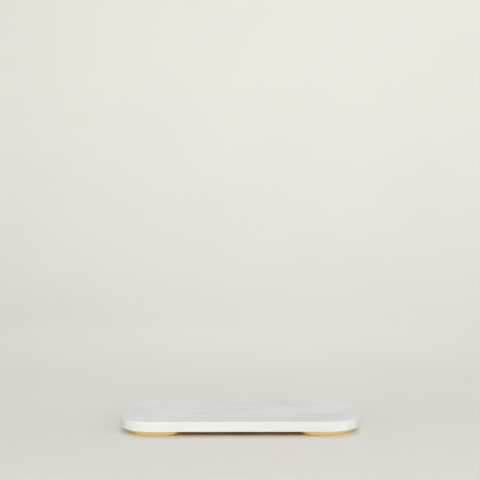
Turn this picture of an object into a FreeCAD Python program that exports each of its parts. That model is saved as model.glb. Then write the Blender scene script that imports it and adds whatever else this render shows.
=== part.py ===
"""Vanity tray: a rounded marble slab carried on four low brass feet.

Units are millimetres and +Z is up.  The origin is on the surface that the tray stands on,
under the middle of the slab.  X runs along the slab and -Y is the front.
Every foot is bedded on the stone with an adhesive layer and held by two countersunk screws,
which run into threaded inserts that are bonded into blind holes in the slab.
"""
import FreeCAD
import Part
import math
import os

# Slab: a 12 x 6 inch stone, half an inch thick
SLAB_LENGTH = 304.8
SLAB_WIDTH = 152.4
SLAB_THICKNESS = 12.7
SLAB_CORNER_RADIUS = 41.0
SLAB_EDGE_EASING = 0.6

# Height build-up from the surface to the underside of the slab
SOLE_PROUD = 0.2
SOLE_THICKNESS = 1.0
FOOT_THICKNESS = 6.4
ADHESIVE_THICKNESS = 0.4

# Feet: oval plates, long side along X
FOOT_LENGTH = 73.0
FOOT_WIDTH = 60.0
FOOT_SIDE_MARGIN = 9.5
FOOT_FRONT_MARGIN = 9.0
FOOT_LOWER_ROUND = 0.9
FOOT_UPPER_ROUND = 0.3
SOLE_INSET = 2.5
SOLE_CLEARANCE = 0.1
ADHESIVE_INSET = 2.0

# Fasteners: M4 countersunk screws with a hexagon socket, two to a foot
SCREW_SPACING = 38.0
SCREW_DIAMETER = 4.0
SCREW_LENGTH = 12.0
SCREW_HEAD_DIAMETER = 8.0
SCREW_HEAD_RECESS = 0.2
SCREW_HEAD_RIM = 0.3
SCREW_TIP_CHAMFER = 0.5
SOCKET_ACROSS_FLATS = 2.5
SOCKET_DEPTH = 1.5
SCREW_CLEARANCE = 0.25
THREAD_CLEARANCE = 0.05

# Threaded inserts and the resin that holds them
INSERT_DIAMETER = 6.4
INSERT_LENGTH = 8.0
INSERT_GROOVE_DEPTH = 0.4
INSERT_GROOVE_WIDTH = 1.0
INSERT_GROOVE_COUNT = 2
RESIN_WALL = 0.6
RESIN_CAP = 0.6

# Heights that follow from the build-up
FOOT_BOTTOM = SOLE_PROUD
FOOT_TOP = FOOT_BOTTOM + FOOT_THICKNESS
SCREW_BOTTOM = SOLE_THICKNESS + SCREW_HEAD_RECESS
SLAB_BOTTOM = FOOT_TOP + ADHESIVE_THICKNESS
INSERT_TOP = SLAB_BOTTOM + INSERT_LENGTH
HOLE_TOP = INSERT_TOP + RESIN_CAP

UP = FreeCAD.Vector(0, 0, 1)
HEX_SIDES = 6
TOUCHING = 1e-6
ROUND_THE_CORNERS = ((1, 1), (-1, 1), (-1, -1), (1, -1))

# Corner name: direction of its foot from the middle of the slab
CORNERS = {
    "front_left": (-1, -1),
    "front_right": (1, -1),
    "back_left": (-1, 1),
    "back_right": (1, 1),
}


def rounded_plate(length, width, radius, bottom, thickness, center=(0.0, 0.0)):
    """A flat plate with round corners, lying level, centred on a point."""
    x_straight = length / 2 - radius
    y_straight = width / 2 - radius
    diagonal = radius * math.sqrt(0.5)

    def point(x, y):
        return FreeCAD.Vector(center[0] + x, center[1] + y, bottom)

    arcs = []
    for x_sign, y_sign in ROUND_THE_CORNERS:
        on_side = point(x_sign * length / 2, y_sign * y_straight)
        on_end = point(x_sign * x_straight, y_sign * width / 2)
        middle = point(x_sign * (x_straight + diagonal), y_sign * (y_straight + diagonal))
        start, stop = (on_side, on_end) if x_sign == y_sign else (on_end, on_side)
        arcs.append((start, middle, stop))
    edges = []
    for arc, following in zip(arcs, arcs[1:] + arcs[:1]):
        edges.append(Part.Arc(*arc).toShape())
        if arc[-1].distanceToPoint(following[0]) > TOUCHING:
            edges.append(Part.makeLine(arc[-1], following[0]))
    face = Part.Face(Part.Wire(edges))
    return face.extrude(UP * thickness)


def level_edges(shape, height):
    """The edges of a shape that lie level at one height."""
    found = []
    for edge in shape.Edges:
        box = edge.BoundBox
        if abs(box.ZMin - height) < TOUCHING and abs(box.ZMax - height) < TOUCHING:
            found.append(edge)
    return found


def cylinder(radius, bottom, top, center):
    """An upright cylinder between two heights."""
    base = FreeCAD.Vector(center[0], center[1], bottom)
    return Part.makeCylinder(radius, top - bottom, base, UP)


def cone(bottom_radius, top_radius, bottom, top, center):
    """An upright cone frustum between two heights."""
    base = FreeCAD.Vector(center[0], center[1], bottom)
    return Part.makeCone(bottom_radius, top_radius, top - bottom, base, UP)


def foot_center(corner):
    """The middle of a foot in plan."""
    x_sign, y_sign = CORNERS[corner]
    x = SLAB_LENGTH / 2 - FOOT_SIDE_MARGIN - FOOT_LENGTH / 2
    y = SLAB_WIDTH / 2 - FOOT_FRONT_MARGIN - FOOT_WIDTH / 2
    return (x_sign * x, y_sign * y)


def foot_plate(corner, inset, bottom, top):
    """A level plate with the outline of a foot, made smaller all round by an inset."""
    length = FOOT_LENGTH - 2 * inset
    width = FOOT_WIDTH - 2 * inset
    return rounded_plate(length, width, width / 2, bottom, top - bottom, foot_center(corner))


def screw_centers(corner):
    """The two screw positions of a foot in plan."""
    x, y = foot_center(corner)
    return [(x - SCREW_SPACING / 2, y), (x + SCREW_SPACING / 2, y)]


def marble_slab():
    """The stone: round corners, eased edges, and a blind hole over every screw."""
    slab = rounded_plate(
        SLAB_LENGTH, SLAB_WIDTH, SLAB_CORNER_RADIUS, SLAB_BOTTOM, SLAB_THICKNESS
    )
    rims = level_edges(slab, SLAB_BOTTOM) + level_edges(slab, SLAB_BOTTOM + SLAB_THICKNESS)
    slab = slab.makeFillet(SLAB_EDGE_EASING, rims)
    hole_radius = INSERT_DIAMETER / 2 + RESIN_WALL
    for corner in CORNERS:
        for center in screw_centers(corner):
            slab = slab.cut(cylinder(hole_radius, SLAB_BOTTOM, HOLE_TOP, center))
    return slab


def brass_foot(corner):
    """An oval brass plate: rounded lower edge, shallow sole pocket, two countersunk holes."""
    foot = foot_plate(corner, 0.0, FOOT_BOTTOM, FOOT_TOP)
    foot = foot.makeFillet(FOOT_LOWER_ROUND, level_edges(foot, FOOT_BOTTOM))
    foot = foot.makeFillet(FOOT_UPPER_ROUND, level_edges(foot, FOOT_TOP))
    foot = foot.cut(foot_plate(corner, SOLE_INSET - SOLE_CLEARANCE, FOOT_BOTTOM, SOLE_THICKNESS))
    hole_radius = SCREW_DIAMETER / 2 + SCREW_CLEARANCE
    sink_radius = SCREW_HEAD_DIAMETER / 2 + SCREW_CLEARANCE
    sink_bottom = SCREW_BOTTOM + SCREW_HEAD_RIM - SCREW_CLEARANCE
    sink_top = sink_bottom + sink_radius - hole_radius
    for center in screw_centers(corner):
        foot = foot.cut(cylinder(hole_radius, FOOT_BOTTOM, FOOT_TOP, center))
        foot = foot.cut(cylinder(sink_radius, FOOT_BOTTOM, sink_bottom, center))
        foot = foot.cut(cone(sink_radius, hole_radius, sink_bottom, sink_top, center))
    return foot


def adhesive_layer(corner):
    """The thin bed between a foot and the stone, open around both screws."""
    layer = foot_plate(corner, ADHESIVE_INSET, FOOT_TOP, SLAB_BOTTOM)
    opening_radius = INSERT_DIAMETER / 2 + RESIN_WALL
    for center in screw_centers(corner):
        layer = layer.cut(cylinder(opening_radius, FOOT_TOP, SLAB_BOTTOM, center))
    return layer


def rubber_sole(corner):
    """The sheet of rubber in the pocket of a foot, a little proud of the brass."""
    return foot_plate(corner, SOLE_INSET, 0.0, SOLE_THICKNESS)


def hexagon_prism(across_flats, bottom, height, center):
    """An upright hexagonal prism."""
    radius = across_flats / math.sqrt(3)
    points = []
    for side in range(HEX_SIDES + 1):
        angle = 2 * math.pi * side / HEX_SIDES
        x = center[0] + radius * math.cos(angle)
        y = center[1] + radius * math.sin(angle)
        points.append(FreeCAD.Vector(x, y, bottom))
    return Part.Face(Part.makePolygon(points)).extrude(UP * height)


def countersunk_screw(center):
    """One screw, head down: rim, cone, shank, chamfered tip and hexagon socket."""
    shank_radius = SCREW_DIAMETER / 2
    head_radius = SCREW_HEAD_DIAMETER / 2
    head_bottom = SCREW_BOTTOM
    rim_top = head_bottom + SCREW_HEAD_RIM
    cone_top = rim_top + head_radius - shank_radius
    tip = head_bottom + SCREW_LENGTH
    screw = cylinder(head_radius, head_bottom, rim_top, center)
    screw = screw.fuse(cone(head_radius, shank_radius, rim_top, cone_top, center))
    screw = screw.fuse(cylinder(shank_radius, cone_top, tip - SCREW_TIP_CHAMFER, center))
    screw = screw.fuse(
        cone(shank_radius, shank_radius - SCREW_TIP_CHAMFER, tip - SCREW_TIP_CHAMFER, tip, center)
    )
    socket = hexagon_prism(SOCKET_ACROSS_FLATS, head_bottom, SOCKET_DEPTH, center)
    return screw.cut(socket).removeSplitter()


def threaded_insert(center):
    """One brass bush with two grooves outside, which the resin keys into."""
    outer_radius = INSERT_DIAMETER / 2
    bore_radius = SCREW_DIAMETER / 2 + THREAD_CLEARANCE
    bush = cylinder(outer_radius, SLAB_BOTTOM, INSERT_TOP, center)
    bush = bush.cut(cylinder(bore_radius, SLAB_BOTTOM, INSERT_TOP, center))
    pitch = INSERT_LENGTH / (INSERT_GROOVE_COUNT + 1)
    for index in range(INSERT_GROOVE_COUNT):
        middle = SLAB_BOTTOM + pitch * (index + 1)
        low = middle - INSERT_GROOVE_WIDTH / 2
        high = middle + INSERT_GROOVE_WIDTH / 2
        ring = cylinder(outer_radius, low, high, center)
        ring = ring.cut(cylinder(outer_radius - INSERT_GROOVE_DEPTH, low, high, center))
        bush = bush.cut(ring)
    return bush


def resin_sleeve(center):
    """The resin around and over one insert, filling the rest of the blind hole."""
    sleeve = cylinder(INSERT_DIAMETER / 2 + RESIN_WALL, SLAB_BOTTOM, HOLE_TOP, center)
    bore = cylinder(SCREW_DIAMETER / 2 + THREAD_CLEARANCE, SLAB_BOTTOM, INSERT_TOP, center)
    return sleeve.cut(threaded_insert(center)).cut(bore)


def pair_of(make_one, corner):
    """The two like pieces of one foot, as separate solids of one node."""
    return Part.makeCompound([make_one(center) for center in screw_centers(corner)])


def export(name, shape):
    """Write one node."""
    shape.exportStep(os.path.join("parts", name + ".step"))


def main():
    os.makedirs("parts", exist_ok=True)
    export("marble_slab", marble_slab())
    for corner in CORNERS:
        export("brass_foot_" + corner, brass_foot(corner))
        export("adhesive_layer_" + corner, adhesive_layer(corner))
        export("rubber_sole_" + corner, rubber_sole(corner))
        export("foot_screws_" + corner, pair_of(countersunk_screw, corner))
        export("threaded_inserts_" + corner, pair_of(threaded_insert, corner))
        export("insert_resin_" + corner, pair_of(resin_sleeve, corner))


main()
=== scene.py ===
"""Dresser vanity tray: a marble slab on four oval brass feet.

Lengths are metres in the frame of the CAD model: +Z up, -Y the front, origin on the surface
that the tray stands on.  The slab is made to the box of its CAD node; its corner radius and
easing repeat the CAD's.  All other pieces keep their CAD shapes and only get materials.
"""
import math

import bmesh
import bpy
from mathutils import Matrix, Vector, noise


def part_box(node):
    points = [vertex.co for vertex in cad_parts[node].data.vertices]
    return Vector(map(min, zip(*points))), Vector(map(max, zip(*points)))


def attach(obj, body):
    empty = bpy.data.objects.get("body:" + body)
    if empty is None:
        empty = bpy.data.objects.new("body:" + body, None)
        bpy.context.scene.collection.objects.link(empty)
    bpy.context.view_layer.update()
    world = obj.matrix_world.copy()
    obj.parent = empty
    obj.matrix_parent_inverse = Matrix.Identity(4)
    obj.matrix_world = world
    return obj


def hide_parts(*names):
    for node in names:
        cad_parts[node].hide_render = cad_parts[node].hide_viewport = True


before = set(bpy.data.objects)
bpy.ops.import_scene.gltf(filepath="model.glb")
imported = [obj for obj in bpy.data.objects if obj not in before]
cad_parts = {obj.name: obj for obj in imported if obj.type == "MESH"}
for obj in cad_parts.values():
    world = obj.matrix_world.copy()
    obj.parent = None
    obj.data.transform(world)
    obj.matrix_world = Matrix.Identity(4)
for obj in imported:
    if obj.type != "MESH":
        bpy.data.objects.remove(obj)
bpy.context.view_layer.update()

CORNERS = ("front_left", "front_right", "back_left", "back_right")
MM = 0.001

TOUCHING = 1e-7
SHARP_TURN = math.radians(30)

# Camera: level, well in front of the tray and a little above it; lens and sensor in mm
CAMERA_DISTANCE = 1.199
CAMERA_HEIGHT = 0.2473
CAMERA_LENS = 67.3
CAMERA_SENSOR = 36.0
CAMERA_FAR = 30.0
CAMERA_TURN = math.radians(-0.55)


# ---------------------------------------------------------------- mesh helpers

def oval_outline(center, length, width, radius, arc_steps):
    """Points and outward directions round a rounded rectangle, counter-clockwise from +X."""
    outline = []
    half_x = length / 2 - radius
    half_y = width / 2 - radius
    for quarter, (sx, sy) in enumerate(((1, 1), (-1, 1), (-1, -1), (1, -1))):
        for step in range(arc_steps + 1):
            angle = math.pi / 2 * (quarter + step / arc_steps)
            out = Vector((math.cos(angle), math.sin(angle)))
            middle = Vector((center[0] + sx * half_x, center[1] + sy * half_y))
            outline.append((middle + out * radius, out))
    return outline


def ring_body(name, outline, profile, wobble):
    """A closed body: the outline repeated at each (inset, height) of the profile, with flat ends."""
    mesh = bpy.data.meshes.new(name)
    bm = bmesh.new()
    rings = []
    for inset, height in profile:
        ring = []
        for point, out in outline:
            spot = point - out * inset
            place = Vector((spot.x, spot.y, height))
            ring.append(bm.verts.new(place + wobble(place, out, inset)))
        rings.append(ring)
    count = len(outline)
    for low, high in zip(rings, rings[1:]):
        for i in range(count):
            j = (i + 1) % count
            bm.faces.new((low[i], low[j], high[j], high[i]))
    bm.faces.new(list(reversed(rings[0])))
    bm.faces.new(rings[-1])
    bmesh.ops.remove_doubles(bm, verts=bm.verts, dist=TOUCHING)
    bmesh.ops.recalc_face_normals(bm, faces=bm.faces)
    bm.to_mesh(mesh)
    bm.free()
    obj = bpy.data.objects.new(name, mesh)
    bpy.context.scene.collection.objects.link(obj)
    return obj


def smooth_by_angle(obj):
    """Smooth shading, with edges kept sharp where the faces turn sharply."""
    mesh = obj.data
    for face in mesh.polygons:
        face.use_smooth = True
    bm = bmesh.new()
    bm.from_mesh(mesh)
    for edge in bm.edges:
        if len(edge.link_faces) == 2:
            edge.smooth = edge.calc_face_angle() < SHARP_TURN
    bm.to_mesh(mesh)
    bm.free()


# ------------------------------------------------------------ material helpers

class Nodes:
    """A small builder for one material's node tree."""

    def __init__(self, name):
        self.material = bpy.data.materials.new(name)
        self.material.use_nodes = True
        self.tree = self.material.node_tree
        self.shader = self.tree.nodes["Principled BSDF"]
        self.place = self.add("ShaderNodeTexCoord").outputs["Object"]

    def add(self, kind, **settings):
        node = self.tree.nodes.new(kind)
        for key, value in settings.items():
            setattr(node, key, value)
        return node

    def link(self, source, target):
        self.tree.links.new(source, target)

    def stretch(self, scale, shift=(0, 0, 0), turn=(0, 0, 0)):
        node = self.add("ShaderNodeMapping")
        self.link(self.place, node.inputs["Vector"])
        node.inputs["Scale"].default_value = scale
        node.inputs["Location"].default_value = shift
        node.inputs["Rotation"].default_value = turn
        return node.outputs["Vector"]

    def noise(self, vector, scale, detail=4.0, rough=0.5):
        node = self.add("ShaderNodeTexNoise")
        self.link(vector, node.inputs["Vector"])
        node.inputs["Scale"].default_value = scale
        node.inputs["Detail"].default_value = detail
        node.inputs["Roughness"].default_value = rough
        return node

    def ramp(self, factor, stops, smooth=False):
        node = self.add("ShaderNodeValToRGB")
        self.link(factor, node.inputs["Fac"])
        band = node.color_ramp
        if smooth:
            band.interpolation = "EASE"
        while len(band.elements) < len(stops):
            band.elements.new(0.5)
        for element, (position, color) in zip(band.elements, stops):
            element.position = position
            element.color = (*color, 1.0)
        return node.outputs["Color"]

    def math(self, operation, a, b=None):
        node = self.add("ShaderNodeMath", operation=operation)
        for socket, value in zip(node.inputs, (a, b)):
            if value is None:
                continue
            if isinstance(value, (int, float)):
                socket.default_value = value
            else:
                self.link(value, socket)
        return node.outputs["Value"]

    def mix(self, factor, a, b, blend="MIX"):
        node = self.add("ShaderNodeMix", data_type="RGBA", blend_type=blend)
        for socket, value in ((node.inputs[0], factor), (node.inputs[6], a), (node.inputs[7], b)):
            if isinstance(value, (int, float)):
                socket.default_value = value
            elif isinstance(value, tuple):
                socket.default_value = (*value, 1.0)
            else:
                self.link(value, socket)
        return node.outputs[2]

    def bump(self, height, strength, distance):
        node = self.add("ShaderNodeBump")
        self.link(height, node.inputs["Height"])
        node.inputs["Strength"].default_value = strength
        node.inputs["Distance"].default_value = distance
        return node.outputs["Normal"]

    def finish(self, color, normal, rough=None):
        self.link(color, self.shader.inputs["Base Color"])
        self.link(normal, self.shader.inputs["Normal"])
        if rough is not None:
            self.link(rough, self.shader.inputs["Roughness"])
        return self.material


def grey(value):
    return (value, value, value)


# ------------------------------------------------------------------- materials

SMUDGE_BEND = 30.0 * MM


def bent_place(n, warp):
    """The object's own coordinates pushed about by a slow noise, so that nothing has a neat outline."""
    bent = n.add("ShaderNodeVectorMath", operation="MULTIPLY_ADD")
    n.link(warp, bent.inputs[0])
    bent.inputs[1].default_value = (SMUDGE_BEND, SMUDGE_BEND, 0.0)
    shifted = n.add("ShaderNodeVectorMath", operation="SUBTRACT")
    n.link(n.place, shifted.inputs[0])
    shifted.inputs[1].default_value = (SMUDGE_BEND / 2, SMUDGE_BEND / 2, 0.0)
    n.link(shifted.outputs["Vector"], bent.inputs[2])
    return bent.outputs["Vector"]


# Soft smudges in the marble: middle x and y, half length and half width in mm, turn in
# degrees, and how much darker the stone is there
SMUDGES = (
    (-139, 0, 17, 62, 4, 0.05),
    (-112, 28, 9, 4, 12, 0.13),
    (-52, -23, 16, 5, 18, 0.08),
    (-30, -45, 14, 4, -10, 0.07),
    (20, -30, 18, 5, 14, 0.07),
    (28, 28, 16, 5, 22, 0.09),
    (71, 38, 20, 8, -12, 0.08),
    (106, 54, 18, 7, 8, 0.08),
    (72, -53, 13, 6, -24, 0.12),
    (72, 42, 66, 30, 0, 0.03),
)


def marble_material():
    """Honed white marble: soft grey clouds, a few thin veins and a fine crystal grain."""
    n = Nodes("honed_white_marble")
    flow = n.stretch((1.0, 1.7, 1.7), turn=(0.3, 0.2, math.radians(24)))
    warp = n.noise(flow, 5.0, detail=3.0).outputs["Color"]
    bent = n.add("ShaderNodeVectorMath", operation="MULTIPLY_ADD")
    n.link(warp, bent.inputs[0])
    bent.inputs[1].default_value = (0.10, 0.10, 0.10)
    n.link(flow, bent.inputs[2])
    bent = bent.outputs["Vector"]

    cloud = n.noise(bent, 9.0, detail=6.0, rough=0.55).outputs["Fac"]
    cloud = n.ramp(cloud, ((0.42, grey(0.0)), (0.72, grey(1.0))), smooth=True)
    body = n.mix(cloud, (0.798, 0.802, 0.800), (0.736, 0.74, 0.738))

    def vein(scale, width, shift):
        """One family of veins: where a noise crosses its middle value."""
        field = n.stretch((1.0, 2.2, 2.2), shift=shift, turn=(0.2, 0.5, math.radians(28)))
        near = n.add("ShaderNodeVectorMath", operation="MULTIPLY_ADD")
        n.link(warp, near.inputs[0])
        near.inputs[1].default_value = (0.16, 0.16, 0.16)
        n.link(field, near.inputs[2])
        value = n.noise(near.outputs["Vector"], scale, detail=5.0, rough=0.6).outputs["Fac"]
        off = n.math("ABSOLUTE", n.math("SUBTRACT", value, 0.5))
        return n.ramp(off, ((0.0, grey(1.0)), (width, grey(0.0))), smooth=True)

    patches = n.noise(n.stretch((1, 1, 1), shift=(3.1, 1.7, 0.4)), 11.0, detail=2.0)
    patches = n.ramp(patches.outputs["Fac"], ((0.50, grey(0.0)), (0.70, grey(1.0))), smooth=True)
    broad = n.math("MULTIPLY", vein(6.0, 0.045, (0.7, 0.2, 0.0)), patches)
    fine = n.math("MULTIPLY", vein(15.0, 0.018, (2.3, 1.1, 0.5)), patches)
    color = n.mix(n.math("MULTIPLY", broad, 0.26), body, (0.50, 0.51, 0.52))
    color = n.mix(n.math("MULTIPLY", fine, 0.20), color, (0.44, 0.44, 0.44))
    for x, y, half_length, half_width, turn, tone in SMUDGES:
        spot = n.add("ShaderNodeMapping", vector_type="TEXTURE")
        n.link(bent_place(n, warp), spot.inputs["Vector"])
        spot.inputs["Location"].default_value = (x * MM, y * MM, 0)
        spot.inputs["Rotation"].default_value = (0, 0, math.radians(turn))
        spot.inputs["Scale"].default_value = (half_length * MM, half_width * MM, 1.0)
        away = n.add("ShaderNodeVectorMath", operation="LENGTH")
        n.link(spot.outputs["Vector"], away.inputs[0])
        depth = n.ramp(away.outputs["Value"], ((0.15, grey(tone)), (1.0, grey(0.0))), smooth=True)
        color = n.mix(depth, color, grey(0.0))
    crystals = n.noise(n.place, 1400.0, detail=2.0).outputs["Fac"]
    crystals = n.ramp(crystals, ((0.3, grey(0.975)), (0.7, grey(1.0))))
    color = n.mix(1.0, color, crystals, blend="MULTIPLY")

    polish = n.noise(n.place, 40.0, detail=5.0, rough=0.6).outputs["Fac"]
    rough = n.ramp(polish, ((0.3, grey(0.30)), (0.7, grey(0.42))))
    grain = n.noise(n.place, 2600.0, detail=3.0).outputs["Fac"]
    normal = n.bump(grain, strength=0.12, distance=0.00002)
    n.shader.inputs["IOR"].default_value = 1.49
    n.shader.inputs["Subsurface Weight"].default_value = 0.12
    n.shader.inputs["Subsurface Radius"].default_value = (1.0, 0.9, 0.8)
    n.shader.inputs["Subsurface Scale"].default_value = 0.003
    return n.finish(color, normal, rough)


def brass_material():
    """Satin brass: fine lines along the edge, faint handling marks and slow colour change."""
    n = Nodes("satin_brass")
    tone = n.noise(n.place, 30.0, detail=3.0, rough=0.5).outputs["Fac"]
    color = n.ramp(tone, ((0.25, (0.92, 0.69, 0.29)), (0.75, (0.98, 0.77, 0.36))))
    lines = n.noise(n.stretch((25, 25, 5000)), 1.0, detail=2.0, rough=0.6).outputs["Fac"]
    marks = n.noise(n.place, 120.0, detail=4.0, rough=0.6).outputs["Fac"]
    marks = n.ramp(marks, ((0.35, grey(0.19)), (0.70, grey(0.25))))
    normal = n.bump(lines, strength=0.10, distance=0.00001)
    round_the_edge = n.add("ShaderNodeTangent", direction_type="RADIAL", axis="Z")
    n.link(round_the_edge.outputs["Tangent"], n.shader.inputs["Tangent"])
    n.shader.inputs["Anisotropic"].default_value = 0.7
    n.shader.inputs["Anisotropic Rotation"].default_value = 0.25
    n.shader.inputs["Metallic"].default_value = 1.0
    return n.finish(color, normal, marks)


def rubber_material():
    """Sheet rubber with a fine stipple and a little dust."""
    n = Nodes("sheet_rubber")
    dust = n.noise(n.place, 90.0, detail=5.0, rough=0.6).outputs["Fac"]
    color = n.ramp(dust, ((0.3, (0.040, 0.036, 0.032)), (0.8, (0.085, 0.078, 0.068))))
    stipple = n.add("ShaderNodeTexVoronoi")
    n.link(n.place, stipple.inputs["Vector"])
    stipple.inputs["Scale"].default_value = 1600.0
    rough = n.ramp(dust, ((0.3, grey(0.72)), (0.8, grey(0.90))))
    return n.finish(color, n.bump(stipple.outputs["Distance"], strength=0.5, distance=0.00005), rough)


def steel_material():
    """Stainless screw steel with fine turning rings."""
    n = Nodes("screw_steel")
    tone = n.noise(n.place, 400.0, detail=4.0).outputs["Fac"]
    color = n.ramp(tone, ((0.3, (0.50, 0.50, 0.51)), (0.7, (0.64, 0.64, 0.65))))
    turning = n.noise(n.stretch((300, 300, 14000)), 1.0, detail=2.0).outputs["Fac"]
    rough = n.ramp(turning, ((0.3, grey(0.24)), (0.7, grey(0.38))))
    n.shader.inputs["Metallic"].default_value = 1.0
    return n.finish(color, n.bump(turning, strength=0.3, distance=0.00001), rough)


def turned_brass_material():
    """Machined brass of the inserts, duller than the feet and with tool rings."""
    n = Nodes("turned_brass")
    tone = n.noise(n.place, 500.0, detail=4.0).outputs["Fac"]
    color = n.ramp(tone, ((0.3, (0.52, 0.37, 0.15)), (0.7, (0.66, 0.49, 0.22))))
    turning = n.noise(n.stretch((200, 200, 9000)), 1.0, detail=2.0).outputs["Fac"]
    rough = n.ramp(turning, ((0.3, grey(0.30)), (0.7, grey(0.45))))
    n.shader.inputs["Metallic"].default_value = 1.0
    return n.finish(color, n.bump(turning, strength=0.3, distance=0.00001), rough)


def cured_resin_material(name, light, dark, roughness):
    """Cured resin or adhesive: milky, slightly uneven, with small trapped bubbles."""
    n = Nodes(name)
    milk = n.noise(n.place, 250.0, detail=4.0, rough=0.6).outputs["Fac"]
    color = n.ramp(milk, ((0.3, dark), (0.75, light)))
    bubbles = n.add("ShaderNodeTexVoronoi")
    n.link(n.place, bubbles.inputs["Vector"])
    bubbles.inputs["Scale"].default_value = 900.0
    pits = n.ramp(bubbles.outputs["Distance"], ((0.05, grey(0.0)), (0.15, grey(1.0))))
    rough = n.ramp(milk, ((0.3, grey(roughness)), (0.75, grey(roughness + 0.15))))
    return n.finish(color, n.bump(pits, strength=0.3, distance=0.00005), rough)


def paper_material():
    """The pale matt sweep, with painted warm shade and painted light where the tray shelters it."""
    n = Nodes("studio_sweep")
    painted_shade_and_light_mask = n.add("ShaderNodeAmbientOcclusion", samples=16)
    painted_shade_and_light_mask.inputs["Distance"].default_value = 0.03
    # Painted shade and light by occlusion: warm brown under the tray, paler than the bare paper just
    # beside it.
    paper_with_painted_shade_and_light = n.ramp(painted_shade_and_light_mask.outputs["AO"], (
        (0.0, (0.97, 0.53, 0.22)), (0.04, (0.98, 0.62, 0.32)), (0.10, (0.97, 0.77, 0.53)),
        (0.25, (0.95, 0.87, 0.75)), (0.50, (0.85, 0.82, 0.76)), (0.92, (0.815, 0.79, 0.745))))
    tone = n.ramp(n.noise(n.place, 3.0, detail=2.0).outputs["Fac"],
                  ((0.3, grey(0.985)), (0.7, grey(1.0))))
    color = n.mix(1.0, paper_with_painted_shade_and_light, tone, blend="MULTIPLY")
    tooth = n.noise(n.place, 900.0, detail=3.0).outputs["Fac"]
    n.shader.inputs["Roughness"].default_value = 0.8
    n.shader.inputs["Specular IOR Level"].default_value = 0.25
    return n.finish(color, n.bump(tooth, strength=0.05, distance=0.0001))


# ---------------------------------------------------------------------- camera

def add_camera():
    data = bpy.data.cameras.new("camera")
    data.lens = CAMERA_LENS
    data.sensor_width = CAMERA_SENSOR
    data.clip_end = CAMERA_FAR
    camera = bpy.data.objects.new("camera", data)
    bpy.context.scene.collection.objects.link(camera)
    sideways = CAMERA_DISTANCE * math.sin(CAMERA_TURN)
    camera.location = (sideways, -CAMERA_DISTANCE * math.cos(CAMERA_TURN), CAMERA_HEIGHT)
    camera.rotation_euler = (math.radians(90), 0, CAMERA_TURN)
    bpy.context.scene.camera = camera


# ----------------------------------------------------------------------- stage

SWEEP_FLAT = 1.0
SWEEP_SUPPORT = 0.1
SWEEP_BEND_LENGTH = 2.9
SWEEP_TOP = 2.2
SWEEP_SEGMENTS = 96
SWEEP_BEND_STEPS = 48


def sweep_profile():
    """(radius, height) pairs: the flat floor's edge, a bend that starts and ends gently, the wall."""
    radius = SWEEP_FLAT
    height = 0.0
    profile = [(radius - SWEEP_SUPPORT, height), (radius, height)]
    step = SWEEP_BEND_LENGTH / SWEEP_BEND_STEPS
    for i in range(SWEEP_BEND_STEPS):
        share = (i + 0.5) / SWEEP_BEND_STEPS
        angle = math.pi / 2 * share - math.sin(2 * math.pi * share) / 4
        radius += step * math.cos(angle)
        height += step * math.sin(angle)
        profile.append((radius, height))
    profile.append((radius, SWEEP_TOP))
    return profile


def add_sweep():
    """A round pale floor that curves up into a wall on every side."""
    mesh = bpy.data.meshes.new("studio_sweep")
    bm = bmesh.new()
    rings = []
    for radius, height in sweep_profile():
        ring = []
        for segment in range(SWEEP_SEGMENTS):
            angle = 2 * math.pi * segment / SWEEP_SEGMENTS
            ring.append(bm.verts.new((radius * math.cos(angle), radius * math.sin(angle), height)))
        rings.append(ring)
    for low, high in zip(rings, rings[1:]):
        for i in range(SWEEP_SEGMENTS):
            j = (i + 1) % SWEEP_SEGMENTS
            bm.faces.new((low[i], high[i], high[j], low[j]))
    bm.faces.new(rings[0])
    bmesh.ops.recalc_face_normals(bm, faces=bm.faces)
    for face in bm.faces:
        face.smooth = True
    bm.to_mesh(mesh)
    bm.free()
    sweep = bpy.data.objects.new("studio_sweep", mesh)
    bpy.context.scene.collection.objects.link(sweep)
    sweep.data.materials.append(paper_material())


LIGHT_COLOR = (0.97, 0.99, 1.0)
SKY_STRENGTH = 0.03
UNDER_THE_TRAY = (0.0, 0.0, 0.0)
BEHIND_THE_TRAY = (0.0, 0.4, 0.0)
ON_THE_BEND = (0.1, 2.6, 0.5)

# Name, place, the point it faces, width and height, power in watts
LIGHTS = (
    ("key", (0.15, -1.83, 0.85), UNDER_THE_TRAY, (2.4, 0.5), 18.0),
    ("high_key", (0.10, -1.60, 1.20), UNDER_THE_TRAY, (2.0, 0.6), 9.3),
    ("right_fill", (1.80, -1.00, 0.70), UNDER_THE_TRAY, (1.2, 0.6), 7.2),
    ("left_fill", (-1.80, -1.00, 0.70), UNDER_THE_TRAY, (1.2, 0.6), 6.2),
    ("overhead", (0.00, 0.40, 1.95), BEHIND_THE_TRAY, (2.0, 1.6), 10.2),
    ("backdrop_light", (0.20, 0.90, 1.90), ON_THE_BEND, (2.0, 0.8), 21.5),
)


def add_area_light(name, place, aim, size, power):
    data = bpy.data.lights.new(name, "AREA")
    data.shape = "RECTANGLE"
    data.size, data.size_y = size
    data.energy = power
    data.color = LIGHT_COLOR
    lamp = bpy.data.objects.new(name, data)
    bpy.context.scene.collection.objects.link(lamp)
    lamp.location = place
    lamp.rotation_euler = (Vector(aim) - Vector(place)).to_track_quat("-Z", "Y").to_euler()
    lamp.visible_camera = False


def add_lights():
    world = bpy.data.worlds.new("soft_sky")
    bpy.context.scene.world = world
    world.use_nodes = True
    sky = world.node_tree.nodes["Background"]
    sky.inputs["Color"].default_value = (*LIGHT_COLOR, 1.0)
    sky.inputs["Strength"].default_value = SKY_STRENGTH
    for light in LIGHTS:
        add_area_light(*light)


# ---------------------------------------------------------------------- pieces

SLAB_CORNER = 41.0 * MM
SLAB_EASING = 0.6 * MM
SLAB_UNEVENNESS = 0.25 * MM
SLAB_WAVES = 55.0
SLAB_ARC_STEPS = 32
EASING_STEPS = 5
EASING_SUPPORT = 0.4 * MM


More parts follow.
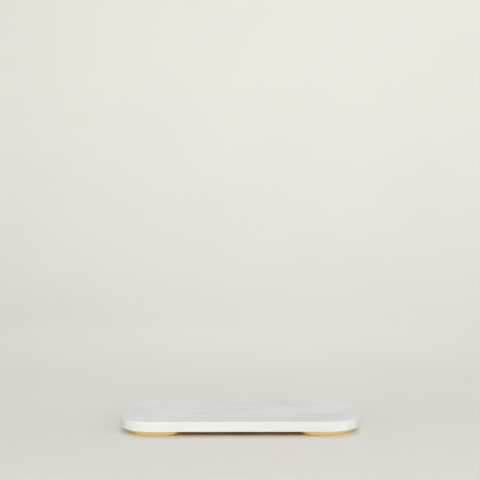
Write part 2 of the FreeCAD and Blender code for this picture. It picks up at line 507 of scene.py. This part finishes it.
def rounded_profile(low, high, easing, steps, support):
    """(inset, height) pairs up a wall with two rounded edges.

    A support ring on each flat side of an edge keeps the flats shaded flat.
    """
    profile = [(easing + support, low)]
    for step in range(steps + 1):
        angle = math.pi / 2 * step / steps
        profile.append((easing * (1 - math.sin(angle)), low + easing * (1 - math.cos(angle))))
    profile.append((0, low + easing + support))
    profile.append((0, high - easing - support))
    for step in range(steps + 1):
        angle = math.pi / 2 * step / steps
        profile.append((easing * (1 - math.cos(angle)), high - easing * (1 - math.sin(angle))))
    profile.append((easing + support, high))
    return profile


def add_slab(material):
    """The slab: crisp hand-eased edges that are never quite even."""
    low, high = (Vector(corner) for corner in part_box("marble_slab"))
    size = high - low
    outline = oval_outline((low + high) / 2, size.x, size.y, SLAB_CORNER, SLAB_ARC_STEPS)
    profile = rounded_profile(low.z, high.z, SLAB_EASING, EASING_STEPS, EASING_SUPPORT)

    def hand_eased(place, out, inset):
        """Unevenness of the two eased edges only; the wall and the flats stay true."""
        if inset > SLAB_EASING:
            return Vector()
        uneven = SLAB_UNEVENNESS * noise.noise(place * SLAB_WAVES)
        return Vector((*out, 0)) * uneven * inset / SLAB_EASING

    slab = ring_body("marble_tray_slab", outline, profile, hand_eased)
    smooth_by_angle(slab)
    slab.data.materials.append(material)
    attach(slab, "root")
    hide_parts("marble_slab")


def main():
    bpy.context.scene.view_settings.view_transform = "Standard"
    add_camera()
    add_sweep()
    add_lights()
    add_slab(marble_material())
    finishes = {
        "brass_foot": brass_material(),
        "adhesive_layer": cured_resin_material(
            "cured_adhesive", (0.70, 0.68, 0.60), (0.60, 0.58, 0.50), 0.45),
        "rubber_sole": rubber_material(),
        "foot_screws": steel_material(),
        "threaded_inserts": turned_brass_material(),
        "insert_resin": cured_resin_material(
            "clear_resin", (0.74, 0.70, 0.58), (0.62, 0.58, 0.46), 0.15),
    }
    for kind, material in finishes.items():
        for corner in CORNERS:
            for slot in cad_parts[kind + "_" + corner].material_slots:
                slot.material = material


main()
